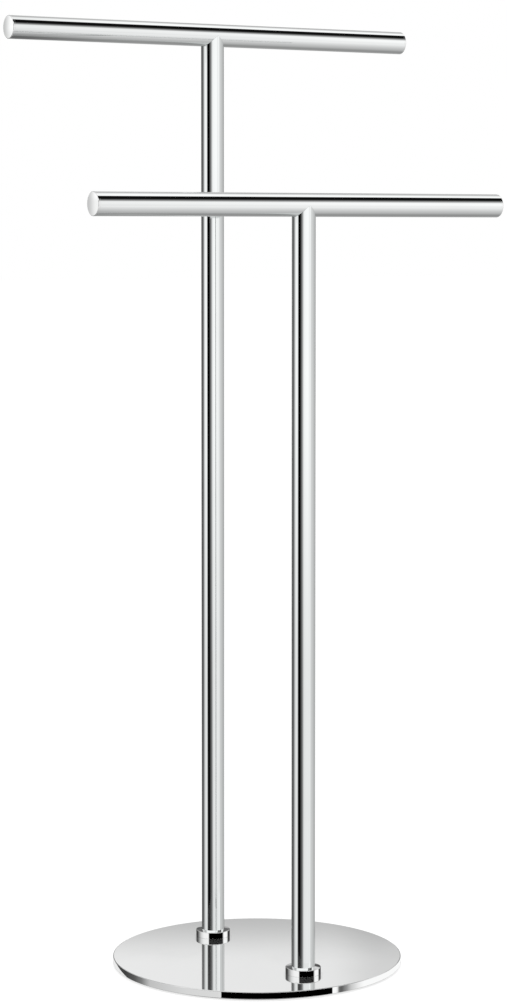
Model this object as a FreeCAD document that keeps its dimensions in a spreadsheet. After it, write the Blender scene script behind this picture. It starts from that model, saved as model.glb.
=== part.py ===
import FreeCAD, Part
import math
import os
import re

import Sketcher
from FreeCAD import Rotation, Vector

# Freestanding towel stand: a heavy round plate that carries two T-shaped rails, the low one in
# front (towards -Y) and the tall one behind it. The rails run along X. The origin is on the
# floor, under the centre of the plate, and +Z is up. Lengths are in millimetres.
#
# Each T stands in a foot collar. A tie rod is screwed into a nut inside the rail and runs down
# inside the post to a plug, whose flange pulls the post up against the rail. A countersunk
# screw from below then pulls the plug, the collar and the plate together.

SIZES = (
    # The round base and the pad under it.
    ("plate_diameter", 250.0),
    ("plate_thickness", 6.0),
    ("plate_rim_round", 0.6),
    ("pad_inset", 5.0),
    ("pad_thickness", 1.5),
    ("pad_hole_margin", 4.0),
    # Where the posts stand, and how high each rail's axis is above the plate.
    ("post_spacing", 150.0),
    ("front_rail_height", 650.0),
    ("rear_rail_height", 800.0),
    # Tubes. The rail's length includes its caps.
    ("post_diameter", 20.0),
    ("post_wall", 1.5),
    ("rail_diameter", 20.0),
    ("rail_wall", 1.5),
    ("rail_length", 400.0),
    # End caps of the rails.
    ("cap_thickness", 2.0),
    ("cap_rim_round", 0.5),
    ("cap_spigot_length", 9.0),
    ("cap_spigot_wall", 2.0),
    # Foot collars. The crown is how far the top rises from its outer edge to the post.
    ("collar_diameter", 30.0),
    ("collar_side_height", 5.5),
    ("collar_crown", 0.9),
    ("collar_floor", 1.5),
    ("collar_rim_round", 0.5),
    # Plugs in the posts' lower ends.
    ("plug_flange_thickness", 2.0),
    ("plug_spigot_length", 28.0),
    ("plug_slot_width", 2.5),
    ("plug_slot_depth", 1.2),
    # Tie rods, the nuts that they screw into and the bushes that centre them.
    ("rod_diameter", 8.0),
    ("rod_point", 0.8),
    ("rod_grip_in_plug", 12.0),
    ("rod_past_rail_axis", 6.0),
    ("nut_length", 30.0),
    ("bush_length", 14.0),
    ("bush_drop", 3.0),
    # Countersunk screws, one per post.
    ("screw_diameter", 6.0),
    ("screw_length", 16.0),
    ("screw_head_diameter", 12.0),
    ("screw_head_recess", 0.4),
    ("screw_socket_flats", 4.0),
    ("screw_socket_depth", 2.5),
    # Clearances, each on the radius.
    ("pressed_gap", 0.05),
    ("thread_gap", 0.05),
    ("cope_gap", 0.05),
    ("seat_gap", 0.1),
    ("screw_gap", 0.2),
    ("rod_gap", 0.25),
    ("tap_runout", 2.0),
)

# Sketch geometry starts at this size, and its dimensions then pull it into place.
ROUGH = 10.0
# Edges are picked by their place to within this distance.
NEAR = 0.01

doc = FreeCAD.newDocument("TowelStand")
sheet = doc.addObject("Spreadsheet::Sheet", "Sizes")
for row, (alias, value) in enumerate(SIZES, start=1):
    sheet.set(f"A{row}", alias)
    sheet.set(f"B{row}", str(value))
    sheet.setAlias(f"B{row}", alias)
doc.recompute()


def from_sheet(formula):
    """The formula with each size's name pointed at its cell."""
    return re.sub(r"[a-z][a-z_]+", r"Sizes.\g<0>", formula)


def new_body(name):
    """A body whose label is the piece's name."""
    body = doc.addObject("PartDesign::Body", name)
    body.Label = name
    return body


def origin_feature(body, role):
    """The body's own origin plane or axis with this role."""
    return next(part for part in body.Origin.OriginFeatures if part.Role == role)


def new_sketch(body, name, plane, height="0"):
    """An empty sketch on one of the body's origin planes, raised along the plane's normal."""
    sketch = body.newObject("Sketcher::SketchObject", f"{body.Name}_{name}")
    sketch.AttachmentSupport = [(origin_feature(body, plane), "")]
    sketch.MapMode = "FlatFace"
    if height != "0":
        sketch.setExpression("AttachmentOffset.Base.z", from_sheet(height))
    return sketch


def place_point(sketch, geometry, point, along, up):
    """Hold a point of a sketch at (along, up) from the sketch's origin."""
    for kind, axis, formula in (("DistanceX", -2, along), ("DistanceY", -1, up)):
        if formula == "0":
            sketch.addConstraint(Sketcher.Constraint("PointOnObject", geometry, point, axis))
        else:
            index = sketch.addConstraint(Sketcher.Constraint(kind, -1, 1, geometry, point, ROUGH))
            sketch.setExpression(f"Constraints[{index}]", from_sheet(formula))


def draw_circle(sketch, diameter, along="0", up="0"):
    """A circle of this diameter about (along, up)."""
    circle = sketch.addGeometry(Part.Circle(Vector(0, 0, 0), Vector(0, 0, 1), ROUGH / 2))
    index = sketch.addConstraint(Sketcher.Constraint("Diameter", circle, ROUGH))
    sketch.setExpression(f"Constraints[{index}]", from_sheet(diameter))
    place_point(sketch, circle, 3, along, up)


def draw_outline(sketch, corners):
    """A closed outline of straight lines through the corners, each given as (along, up)."""
    count = len(corners)
    turns = [Rotation(Vector(0, 0, 1), 360.0 * turn / count) for turn in range(count)]
    points = [spin.multVec(Vector(ROUGH, 0, 0)) for spin in turns]
    for turn in range(count):
        sketch.addGeometry(Part.LineSegment(points[turn], points[(turn + 1) % count]))
    for turn, (along, up) in enumerate(corners):
        following = (turn + 1) % count
        sketch.addConstraint(Sketcher.Constraint("Coincident", turn, 2, following, 1))
        place_point(sketch, turn, 1, along, up)


def draw_upright_axis(sketch, along):
    """A short construction line that stands on the sketch's base line at along."""
    line = sketch.addGeometry(Part.LineSegment(Vector(ROUGH, 0, 0), Vector(ROUGH, ROUGH, 0)), True)
    place_point(sketch, line, 1, along, "0")
    sketch.addConstraint(Sketcher.Constraint("Vertical", line))
    sketch.addConstraint(Sketcher.Constraint("DistanceY", line, 1, line, 2, ROUGH))


def new_feature(body, kind, name, sketch):
    """A feature of this kind that uses the sketch as its profile."""
    feature = body.newObject(f"PartDesign::{kind}", f"{body.Name}_{name}")
    feature.Profile = (sketch, [""])
    sketch.Visibility = False
    return feature


def check_cut(feature):
    """Stop if a feature that should take material away took none."""
    doc.recompute()
    before = feature.BaseFeature.Shape.Volume
    if not feature.Shape.Volume < before:
        raise RuntimeError(f"{feature.Name} cuts nothing")


def pad(body, name, sketch, length, both_ways=False):
    """Material over the sketch, up from it or half each way."""
    feature = new_feature(body, "Pad", name, sketch)
    feature.SideType = "Symmetric" if both_ways else "One side"
    feature.setExpression("Length", from_sheet(length))
    return feature


def pocket(body, name, sketch, length, along_normal=False):
    """A hole under the sketch, against its normal or along it."""
    feature = new_feature(body, "Pocket", name, sketch)
    feature.setExpression("Length", from_sheet(length))
    feature.Reversed = along_normal
    check_cut(feature)
    return feature


def pocket_both_ways(body, name, sketch):
    """A hole right through the body on both sides of the sketch."""
    feature = new_feature(body, "Pocket", name, sketch)
    feature.Type = "ThroughAll"
    feature.SideType = "Symmetric"
    check_cut(feature)
    return feature


def turn_about(body, kind, name, sketch, axis="V_Axis"):
    """A Revolution or Groove of the sketch about its upright axis, all the way round."""
    feature = new_feature(body, kind, name, sketch)
    feature.ReferenceAxis = (sketch, [axis])
    feature.Angle = 360.0
    return feature


def repeat_behind(body, name, originals):
    """The same features again on the other side of the XZ plane."""
    mirrored = body.newObject("PartDesign::Mirrored", f"{body.Name}_{name}")
    mirrored.Originals = originals
    mirrored.MirrorPlane = (origin_feature(body, "XZ_Plane"), [""])
    body.Tip = mirrored
    return mirrored


def round_edges(body, kind, name, amount, is_wanted):
    """A Fillet or Chamfer on those circular edges of the body that is_wanted picks."""
    doc.recompute()
    base = body.Tip
    names = []
    for number, edge in enumerate(base.Shape.Edges, start=1):
        if isinstance(edge.Curve, Part.Circle) and is_wanted(edge.Curve):
            names.append(f"Edge{number}")
    feature = body.newObject(f"PartDesign::{kind}", f"{body.Name}_{name}")
    feature.Base = (base, names)
    feature.setExpression("Radius" if kind == "Fillet" else "Size", from_sheet(amount))
    return feature


def put(body, along="0", back="0", up="0"):
    """Place a body's origin, in millimetres from the stand's."""
    for axis, formula in (("x", along), ("y", back), ("z", up)):
        if formula != "0":
            body.setExpression(f"Placement.Base.{axis}", from_sheet(formula))


def size(alias):
    """A size's value, for picking edges."""
    return float(sheet.get(alias))


# --- Base -----------------------------------------------------------------------------------

FRONT_POST_AT = "-post_spacing / 2"
REAR_POST_AT = "post_spacing / 2"
SCREW_CONE_HEIGHT = "(screw_head_diameter - screw_diameter) / 2"

# The plate is a turned steel disc. Each post's screw comes up through a countersunk hole.
plate = new_body("base_plate")
disc = new_sketch(plate, "disc", "XY_Plane")
draw_circle(disc, "plate_diameter")
pad(plate, "thickness", disc, "plate_thickness")
countersink = new_sketch(plate, "countersink", "YZ_Plane")
draw_outline(countersink, (
    (FRONT_POST_AT, "0"),
    (f"{FRONT_POST_AT} + screw_head_diameter / 2 + screw_gap", "0"),
    (f"{FRONT_POST_AT} + screw_head_diameter / 2 + screw_gap", "screw_head_recess"),
    (f"{FRONT_POST_AT} + screw_diameter / 2 + screw_gap",
     f"screw_head_recess + {SCREW_CONE_HEIGHT}"),
    (f"{FRONT_POST_AT} + screw_diameter / 2 + screw_gap", "plate_thickness"),
    (FRONT_POST_AT, "plate_thickness"),
))
draw_upright_axis(countersink, FRONT_POST_AT)
front_hole = turn_about(plate, "Groove", "front_hole", countersink, "Axis0")
check_cut(front_hole)
repeat_behind(plate, "rear_hole", [front_hole])
round_edges(plate, "Fillet", "rim", "plate_rim_round",
            lambda circle: circle.Radius > size("plate_diameter") / 2 - NEAR)
put(plate, up="pad_thickness")

# The pad is a sheet of soft foam glued under the plate, with a hole around each screw's head.
base_pad = new_body("base_pad")
foam_outline = new_sketch(base_pad, "outline", "XY_Plane")
draw_circle(foam_outline, "plate_diameter - 2 * pad_inset")
for hole_at in (FRONT_POST_AT, REAR_POST_AT):
    draw_circle(foam_outline, "screw_head_diameter + 2 * pad_hole_margin", up=hole_at)
pad(base_pad, "thickness", foam_outline, "pad_thickness")

# The two base screws are alike: flat head flush with the plate, hexagon socket, plain shank.
screws = new_body("base_screws")
screw_section = new_sketch(screws, "section", "YZ_Plane")
draw_outline(screw_section, (
    (FRONT_POST_AT, "0"),
    (f"{FRONT_POST_AT} + screw_head_diameter / 2", "0"),
    (f"{FRONT_POST_AT} + screw_diameter / 2", SCREW_CONE_HEIGHT),
    (f"{FRONT_POST_AT} + screw_diameter / 2", "screw_length"),
    (FRONT_POST_AT, "screw_length"),
))
draw_upright_axis(screw_section, FRONT_POST_AT)
front_screw = turn_about(screws, "Revolution", "front_screw", screw_section, "Axis0")
hexagon = new_sketch(screws, "hexagon", "XY_Plane")
HEXAGON_RADIUS_PER_FLATS = 1 / math.sqrt(3)
draw_outline(hexagon, [
    (f"screw_socket_flats * {HEXAGON_RADIUS_PER_FLATS * math.cos(turn * math.pi / 3):.6f}",
     f"{FRONT_POST_AT} + screw_socket_flats * {HEXAGON_RADIUS_PER_FLATS * math.sin(turn * math.pi / 3):.6f}")
    for turn in range(6)
])
front_socket = pocket(screws, "front_socket", hexagon, "screw_socket_depth", along_normal=True)
repeat_behind(screws, "rear_screw", [front_screw, front_socket])
put(screws, up="pad_thickness + screw_head_recess")

# --- The two Ts -----------------------------------------------------------------------------

PLATE_TOP = "pad_thickness + plate_thickness"
PLUG_FOOT = f"{PLATE_TOP} + collar_floor"
PLUG_HEIGHT = "plug_flange_thickness + plug_spigot_length"
POST_BORE = "post_diameter - 2 * post_wall"
RAIL_BORE = "rail_diameter - 2 * rail_wall"
SCREW_IN_PLUG = "screw_head_recess + screw_length - plate_thickness - collar_floor"


def make_collar(name, back):
    """Turned ring with a shallow coned top and a floor: the post stands in it on the plug's
    flange, and the screw passes the floor."""
    body = new_body(name)
    section = new_sketch(body, "section", "XZ_Plane")
    draw_outline(section, (
        ("screw_diameter / 2 + screw_gap", "0"),
        ("collar_diameter / 2", "0"),
        ("collar_diameter / 2", "collar_side_height"),
        ("post_diameter / 2 + seat_gap", "collar_side_height + collar_crown"),
        ("post_diameter / 2 + seat_gap", "collar_floor"),
        ("screw_diameter / 2 + screw_gap", "collar_floor"),
    ))
    turn_about(body, "Revolution", "ring", section)
    round_edges(body, "Fillet", "rim", "collar_rim_round",
                lambda circle: circle.Radius > size("collar_diameter") / 2 - NEAR
                and circle.Center.z > size("collar_side_height") - NEAR)
    put(body, back=back, up=PLATE_TOP)


def make_foot_plug(name, back):
    """Flanged plug, tapped from both ends, with a slot across its foot to turn it by."""
    body = new_body(name)
    section = new_sketch(body, "section", "XZ_Plane")
    draw_outline(section, (
        ("0", "0"),
        ("post_diameter / 2", "0"),
        ("post_diameter / 2", "plug_flange_thickness"),
        (f"({POST_BORE}) / 2 - pressed_gap", "plug_flange_thickness"),
        (f"({POST_BORE}) / 2 - pressed_gap", PLUG_HEIGHT),
        ("0", PLUG_HEIGHT),
    ))
    turn_about(body, "Revolution", "plug", section)
    screw_bore = new_sketch(body, "screw_bore", "XY_Plane")
    draw_circle(screw_bore, "screw_diameter + 2 * thread_gap")
    pocket(body, "screw_hole", screw_bore, f"{SCREW_IN_PLUG} + tap_runout", along_normal=True)
    rod_bore = new_sketch(body, "rod_bore", "XY_Plane", PLUG_HEIGHT)
    draw_circle(rod_bore, "rod_diameter + 2 * thread_gap")
    pocket(body, "rod_hole", rod_bore, "rod_grip_in_plug + tap_runout")
    slot = new_sketch(body, "slot", "XY_Plane")
    draw_outline(slot, (
        ("-post_diameter", "-plug_slot_width / 2"),
        ("post_diameter", "-plug_slot_width / 2"),
        ("post_diameter", "plug_slot_width / 2"),
        ("-post_diameter", "plug_slot_width / 2"),
    ))
    pocket(body, "turning_slot", slot, "plug_slot_depth", along_normal=True)
    put(body, back=back, up=PLUG_FOOT)


def make_post(name, back, rail_height):
    """Round tube on the plug's flange; its top is coped to lie around the rail's underside."""
    to_rail_axis = f"{rail_height} - collar_floor - plug_flange_thickness"
    body = new_body(name)
    rings = new_sketch(body, "rings", "XY_Plane")
    draw_circle(rings, "post_diameter")
    draw_circle(rings, POST_BORE)
    pad(body, "tube", rings, to_rail_axis)
    cope = new_sketch(body, "cope", "YZ_Plane")
    draw_circle(cope, "rail_diameter + 2 * cope_gap", up=to_rail_axis)
    pocket_both_ways(body, "coped_top", cope)
    put(body, back=back, up=f"{PLUG_FOOT} + plug_flange_thickness")


def make_top_bush(name, back, rail_height):
    """Short bush pressed into the post's top, just under the cope, with the rod through it."""
    body = new_body(name)
    rings = new_sketch(body, "rings", "XY_Plane")
    draw_circle(rings, f"{POST_BORE} - 2 * pressed_gap")
    draw_circle(rings, "rod_diameter + 2 * rod_gap")
    pad(body, "bush", rings, "bush_length")
    put(body, back=back,
        up=f"{PLATE_TOP} + {rail_height} - rail_diameter / 2 - bush_drop - bush_length")


def make_tie_rod(name, back, rail_height):
    """Rod from inside the foot plug to just past the rail's axis, pointed at both ends."""
    rod_foot = f"{PLUG_FOOT} + {PLUG_HEIGHT} - rod_grip_in_plug"
    body = new_body(name)
    round_bar = new_sketch(body, "bar", "XY_Plane")
    draw_circle(round_bar, "rod_diameter")
    pad(body, "rod", round_bar, f"{PLATE_TOP} + {rail_height} + rod_past_rail_axis - ({rod_foot})")
    round_edges(body, "Chamfer", "points", "rod_point", lambda circle: True)
    put(body, back=back, up=rod_foot)


def make_rail(name, back, rail_height):
    """Round tube along X, with a hole in the middle of its underside for the tie rod."""
    body = new_body(name)
    rings = new_sketch(body, "rings", "YZ_Plane")
    draw_circle(rings, "rail_diameter")
    draw_circle(rings, RAIL_BORE)
    pad(body, "tube", rings, "rail_length - 2 * cap_thickness", both_ways=True)
    rod_hole = new_sketch(body, "rod_hole", "XY_Plane")
    draw_circle(rod_hole, "rod_diameter + 2 * rod_gap")
    pocket(body, "hole_below", rod_hole, "rail_diameter")
    put(body, back=back, up=f"{PLATE_TOP} + {rail_height}")


def make_rail_nut(name, back, rail_height):
    """Round slug inside the rail, tapped across for the tie rod."""
    body = new_body(name)
    end_view = new_sketch(body, "end_view", "YZ_Plane")
    draw_circle(end_view, f"{RAIL_BORE} - 2 * pressed_gap")
    pad(body, "slug", end_view, "nut_length", both_ways=True)
    thread = new_sketch(body, "thread", "XY_Plane")
    draw_circle(thread, "rod_diameter + 2 * thread_gap")
    pocket_both_ways(body, "cross_hole", thread)
    put(body, back=back, up=f"{PLATE_TOP} + {rail_height}")


def make_rail_cap(name, back, rail_height, side):
    """End cap: flat face with a softly rounded rim, and a hollow spigot inside the tube."""
    body = new_body(name)
    section = new_sketch(body, "section", "XZ_Plane")
    draw_outline(section, (
        ("0", "cap_thickness"),
        ("rail_diameter / 2", "cap_thickness"),
        ("rail_diameter / 2", "0"),
        (f"({RAIL_BORE}) / 2 - pressed_gap", "0"),
        (f"({RAIL_BORE}) / 2 - pressed_gap", "-cap_spigot_length"),
        (f"({RAIL_BORE}) / 2 - pressed_gap - cap_spigot_wall", "-cap_spigot_length"),
        (f"({RAIL_BORE}) / 2 - pressed_gap - cap_spigot_wall", "0"),
        ("0", "0"),
    ))
    turn_about(body, "Revolution", "cap", section)
    round_edges(body, "Fillet", "rim", "cap_rim_round",
                lambda circle: circle.Center.z > size("cap_thickness") - NEAR)
    body.Placement.Rotation = Rotation(Vector(0, 1, 0), 90.0 * side)
    put(body, along=f"{side} * (rail_length / 2 - cap_thickness)", back=back,
        up=f"{PLATE_TOP} + {rail_height}")


for place, back, rail_height in (
    ("front", FRONT_POST_AT, "front_rail_height"),
    ("rear", REAR_POST_AT, "rear_rail_height"),
):
    make_collar(f"{place}_collar", back)
    make_foot_plug(f"{place}_foot_plug", back)
    make_post(f"{place}_post", back, rail_height)
    make_top_bush(f"{place}_top_bush", back, rail_height)
    make_tie_rod(f"{place}_tie_rod", back, rail_height)
    make_rail(f"{place}_rail", back, rail_height)
    make_rail_nut(f"{place}_rail_nut", back, rail_height)
    make_rail_cap(f"{place}_rail_cap_left", back, rail_height, -1)
    make_rail_cap(f"{place}_rail_cap_right", back, rail_height, 1)

# --- Check and write ------------------------------------------------------------------------

doc.recompute()
for item in doc.Objects:
    if "Invalid" in item.State or "Error" in item.State:
        raise RuntimeError(f"{item.Name} failed: {item.State}")

os.makedirs("parts", exist_ok=True)
for body in doc.findObjects("PartDesign::Body"):
    shape = body.Shape
    if shape.isNull() or not shape.isValid():
        raise RuntimeError(f"{body.Label} has no valid shape")
    print(f"{body.Label}: {len(shape.Solids)} solid(s), {shape.Volume / 1000:.2f} cm3")
    shape.exportStep(f"parts/{body.Label}.step")
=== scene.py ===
import math

import bmesh
import bpy
from mathutils import Matrix, Vector


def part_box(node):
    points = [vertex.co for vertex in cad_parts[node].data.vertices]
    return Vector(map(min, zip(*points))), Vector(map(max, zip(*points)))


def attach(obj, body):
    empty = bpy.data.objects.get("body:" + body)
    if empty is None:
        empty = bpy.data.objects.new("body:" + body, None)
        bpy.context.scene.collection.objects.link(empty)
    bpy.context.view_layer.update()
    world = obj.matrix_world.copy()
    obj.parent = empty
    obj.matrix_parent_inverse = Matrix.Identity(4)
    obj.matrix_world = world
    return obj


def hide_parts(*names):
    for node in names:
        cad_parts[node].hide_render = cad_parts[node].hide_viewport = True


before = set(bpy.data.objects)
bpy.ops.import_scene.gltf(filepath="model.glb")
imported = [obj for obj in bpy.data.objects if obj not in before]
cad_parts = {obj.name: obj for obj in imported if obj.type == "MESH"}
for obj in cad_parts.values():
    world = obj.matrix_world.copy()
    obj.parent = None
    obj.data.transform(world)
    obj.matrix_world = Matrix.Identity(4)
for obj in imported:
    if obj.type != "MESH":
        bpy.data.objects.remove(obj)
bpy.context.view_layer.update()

# --- Camera -----------------------------------------------------------------------------------
# The stand is seen from its front left through a long lens, about level with the low rail. The
# lens tips down a little and is shifted for the rest, which keeps the posts nearly upright.

IMAGE_HEIGHT = 1005
FOCAL_LENGTH_IN_PIXELS = 2802.3
SHIFT_IN_PIXELS = 139
SENSOR_LONG_SIDE = 36.0
CAMERA_PLACE = Vector((-1.25966, -2.05732, 0.63591))
CAMERA_AZIMUTH = math.radians(-31.408)
CAMERA_TIP = math.radians(2.714)


def add_object(name, data):
    """A new object in the scene, at the origin."""
    added = bpy.data.objects.new(name, data)
    bpy.context.scene.collection.objects.link(added)
    return added


camera_data = bpy.data.cameras.new("camera")
camera_data.sensor_width = SENSOR_LONG_SIDE
camera_data.lens = FOCAL_LENGTH_IN_PIXELS / IMAGE_HEIGHT * SENSOR_LONG_SIDE
camera_data.shift_y = -SHIFT_IN_PIXELS / IMAGE_HEIGHT
camera_data.clip_start = 0.1
camera_data.clip_end = 100.0
camera = add_object("camera", camera_data)
looking_along = Vector((
    -math.sin(CAMERA_AZIMUTH) * math.cos(CAMERA_TIP),
    math.cos(CAMERA_AZIMUTH) * math.cos(CAMERA_TIP),
    -math.sin(CAMERA_TIP),
))
camera.location = CAMERA_PLACE
camera.rotation_euler = looking_along.to_track_quat("-Z", "Y").to_euler()
bpy.context.scene.camera = camera
bpy.context.scene.view_settings.view_transform = "Standard"

# --- Studio -----------------------------------------------------------------------------------
# A white and grey studio with black flags hung around it, as chrome is lit: the flags give the
# tubes their black lines. Only what the metal mirrors has all this in it. The camera and the matt
# pieces see it plain and pale.


class Wire:
    """An output socket of a node. Arithmetic on it adds Math nodes to the same graph."""

    def __init__(self, graph, socket):
        self.graph = graph
        self.socket = socket

    def other(self, name):
        """Another output of the same node, by its name or number."""
        return Wire(self.graph, self.socket.node.outputs[name])

    def math(self, operation, *values):
        settings = {"operation": operation}
        return self.graph.add("ShaderNodeMath", settings, dict(enumerate((self, *values))))

    def __add__(self, value):
        return self.math("ADD", value)

    def __radd__(self, value):
        return self.math("ADD", value)

    def __mul__(self, value):
        return self.math("MULTIPLY", value)

    def __rmul__(self, value):
        return self.math("MULTIPLY", value)

    def __sub__(self, value):
        return self.math("SUBTRACT", value)

    def __rsub__(self, value):
        return self.math("MULTIPLY_ADD", -1.0, value)

    def __truediv__(self, value):
        return self.math("DIVIDE", value)

    def __abs__(self):
        return self.math("ABSOLUTE")


class Graph:
    """A node tree that is built from an empty one."""

    def __init__(self, tree):
        self.tree = tree
        tree.nodes.clear()

    def add(self, kind, settings=None, sockets=None):
        """A new node, with its settings first and then the values or links of its sockets."""
        node = self.tree.nodes.new(kind)
        for name, value in (settings or {}).items():
            if name == "stops":
                self.set_stops(node.color_ramp, value)
            else:
                setattr(node, name, value)
        for name, value in (sockets or {}).items():
            if isinstance(value, Wire):
                self.tree.links.new(value.socket, node.inputs[name])
            else:
                node.inputs[name].default_value = value
        return Wire(self, node.outputs[0]) if node.outputs else None

    @staticmethod
    def set_stops(ramp, stops):
        """Give a ramp its grey stops, as (place, level). The one it can't lose is its last."""
        while len(ramp.elements) > 1:
            ramp.elements.remove(ramp.elements[0])
        ramp.elements[0].position = 1.0
        for place, level in stops:
            is_last = place == stops[-1][0]
            stop = ramp.elements[-1] if is_last else ramp.elements.new(place)
            stop.position = place
            stop.color = (level, level, level, 1.0)

    def mix(self, share, colour, other_colour):
        """colour where share is 0 and other_colour where it is 1. The node's sockets go by
        number, because their names repeat."""
        sockets = {0: share, 6: colour, 7: other_colour}
        return self.add("ShaderNodeMix", {"data_type": "RGBA"}, sockets).other(2)

    def rise(self, value, start, end):
        """0 up to start, 1 from end on, and a soft rise between them."""
        settings = {"interpolation_type": "SMOOTHSTEP"}
        sockets = {"Value": value, "From Min": start, "From Max": end}
        return self.add("ShaderNodeMapRange", settings, sockets)

    def band(self, value, start, full, last, end):
        """1 between full and last, with a soft rise before and a soft fall after."""
        return self.rise(value, start, full) * (1 - self.rise(value, last, end))

    def levels_by_angle(self, angle, stops, reach=180):
        """Grey levels by an angle in degrees, given as (angle, level) from -reach to reach."""
        places = [((degrees + reach) / (2 * reach), level) for degrees, level in stops]
        share = (angle + reach) / (2 * reach)
        return self.add("ShaderNodeValToRGB", {"stops": places}, {"Fac": share})

    def along(self, vector, axis):
        """How far a vector goes along an axis."""
        dot = self.add("ShaderNodeVectorMath", {"operation": "DOT_PRODUCT"}, {0: vector, 1: axis})
        return dot.other("Value")

    def angle(self, vector, start, quarter):
        """A vector's angle in degrees: 0 along start and 90 along quarter."""
        turn = self.along(vector, quarter).math("ARCTAN2", self.along(vector, start))
        return turn * (180 / math.pi)


UPWARDS = (0.0, 0.0, 1.0)
TO_FRONT = (0.0, -1.0, 0.0)
TO_CAMERA = (math.sin(CAMERA_AZIMUTH), -math.cos(CAMERA_AZIMUTH), 0.0)
TO_CAMERA_RIGHT = (math.cos(CAMERA_AZIMUTH), math.sin(CAMERA_AZIMUTH), 0.0)

# What is around the stand, as (angle, level), from behind it by the left to the camera at 0 and
# on by the right: a dark corner, a white wall, a black flag beside the lens, and a long wall
# that is white at first and grey further back.
WALLS = (
    (-180, 0.505), (-177, 0.52), (-156, 0.30), (-148, 0.09), (-124, 0.10), (-106, 0.20),
    (-98, 0.45), (-88, 0.80), (-76, 0.97), (-62, 0.95), (-57, 0.60), (-52, 0.00),
    (-34, 0.00), (-27, 0.05), (-15, 0.26), (-8, 0.47), (-1, 0.82), (8, 0.96),
    (20, 0.98), (30, 1.00), (44, 1.00), (53, 0.92), (60, 0.85), (65, 0.92),
    (69, 0.92), (76, 0.70), (92, 0.65), (108, 0.57), (128, 0.48), (152, 0.44),
    (176, 0.505), (180, 0.505),
)
# The ceiling and the floor, around the rails: 0 is level in front, 90 above and -90 below.
CEILING_AND_FLOOR = (
    (-180, 0.34), (-140, 0.34), (-116, 0.26), (-99, 0.34), (-85, 0.45), (-60, 0.58),
    (-38, 0.74), (-25, 0.85), (-15, 0.95), (-5, 1.00), (104, 1.00), (126, 0.48),
    (142, 0.55), (160, 0.90), (180, 0.90),
)

world = bpy.data.worlds.new("studio")
bpy.context.scene.world = world
world.use_nodes = True
world.cycles.sampling_method = "NONE"
studio = Graph(world.node_tree)
direction = studio.add("ShaderNodeTexCoord").other("Generated")
side = studio.angle(direction, TO_CAMERA, TO_CAMERA_RIGHT)
roll = studio.angle(direction, TO_FRONT, UPWARDS)
up = studio.along(direction, UPWARDS).math("ARCSINE") * (180 / math.pi)

# In what follows, two numbers are where a rise starts and ends, and four are where a band
# starts, is full, is still full, and ends. A gain adds to a level, and a loss takes a share of
# it away. Angles are in degrees.

# The backdrop stands behind. It is brighter from a line upwards, and darker at its right.
BACKDROP_SIDES = (125.0, 150.0)
BACKDROP_UPPER = (13.85, 14.8)
BACKDROP_UPPER_GAIN = 0.62
BACKDROP_RIGHT = (150.0, 152.0, 177.3, 178.6)
BACKDROP_RIGHT_LOSS = 0.2
behind = studio.rise(abs(side), *BACKDROP_SIDES)
backdrop = 1 + BACKDROP_UPPER_GAIN * behind * studio.rise(up, *BACKDROP_UPPER)
backdrop = backdrop * (1 - BACKDROP_RIGHT_LOSS * studio.band(side, *BACKDROP_RIGHT))

# The front is darker above and below eye level: less so at its right, and more by the lens.
FRONT_OFF_LEVEL = (2.5, 10.0)
FRONT_LOSS = 0.17
FRONT_RIGHT = (40.0, 62.0)
FRONT_RIGHT_SPARED = 0.11
BY_LENS_OFF_LEVEL = (3.0, 14.0)
BY_LENS_SIDES = (-36.0, -28.0, -10.0, 8.0)
BY_LENS_LOSS = 0.40
off_level = abs(up)
front_loss = FRONT_LOSS - FRONT_RIGHT_SPARED * studio.rise(side, *FRONT_RIGHT)
front_loss = front_loss * studio.rise(off_level, *FRONT_OFF_LEVEL)
by_lens = studio.rise(off_level, *BY_LENS_OFF_LEVEL) * studio.band(side, *BY_LENS_SIDES)
front_loss = front_loss + BY_LENS_LOSS * by_lens

# A white card stands at the right and lights the rails. It is brighter towards its far side.
RAIL_CARD_SIDES = (50.0, 58.0, 70.0, 78.0)
RAIL_CARD_FOOT = (-1.0, 2.0)
RAIL_CARD_LEVEL = 0.86
RAIL_CARD_FAR_SIDE = (58.0, 68.0)
RAIL_CARD_FAR_GAIN = 0.12
rail_card = studio.band(side, *RAIL_CARD_SIDES) * studio.rise(up, *RAIL_CARD_FOOT)
rail_card_level = RAIL_CARD_LEVEL + RAIL_CARD_FAR_GAIN * studio.rise(side, *RAIL_CARD_FAR_SIDE)
around = studio.levels_by_angle(side, WALLS) * backdrop * (1 - front_loss * (1 - behind))
around = around * (1 - rail_card) + rail_card_level * rail_card

# A long black flag hangs over the rails, along them. Its near edge is soft and its far one sharp,
# it turns a little towards its right end, and it is cut out over the lens. along_rails is how
# far a direction points along the rails, from -1 to 1.
FLAG_ROLL = (2.0, 49.0, 74.5, 80.5)
FLAG_TURN = 7.0
FLAG_TURN_ALONG = (0.46, 0.60)
FLAG_ENDS_ALONG = (0.75, 0.9)
FLAG_LOSS = 0.996
OVER_LENS_SIDES = (-60.0, -50.0, 50.0, 57.0)
OVER_LENS_UP = (24.0, 28.0, 40.0, 44.0)
along_rails = studio.along(direction, (1.0, 0.0, 0.0))
flag_roll = roll - FLAG_TURN * studio.rise(along_rails, *FLAG_TURN_ALONG)
flag = studio.band(flag_roll, *FLAG_ROLL)
flag = flag * (1 - studio.rise(abs(along_rails), *FLAG_ENDS_ALONG))
over_lens = studio.band(side, *OVER_LENS_SIDES) * studio.band(up, *OVER_LENS_UP)
flag = flag * (1 - over_lens)
over_and_under = studio.levels_by_angle(roll, CEILING_AND_FLOOR) * (1 - FLAG_LOSS * flag)

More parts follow.
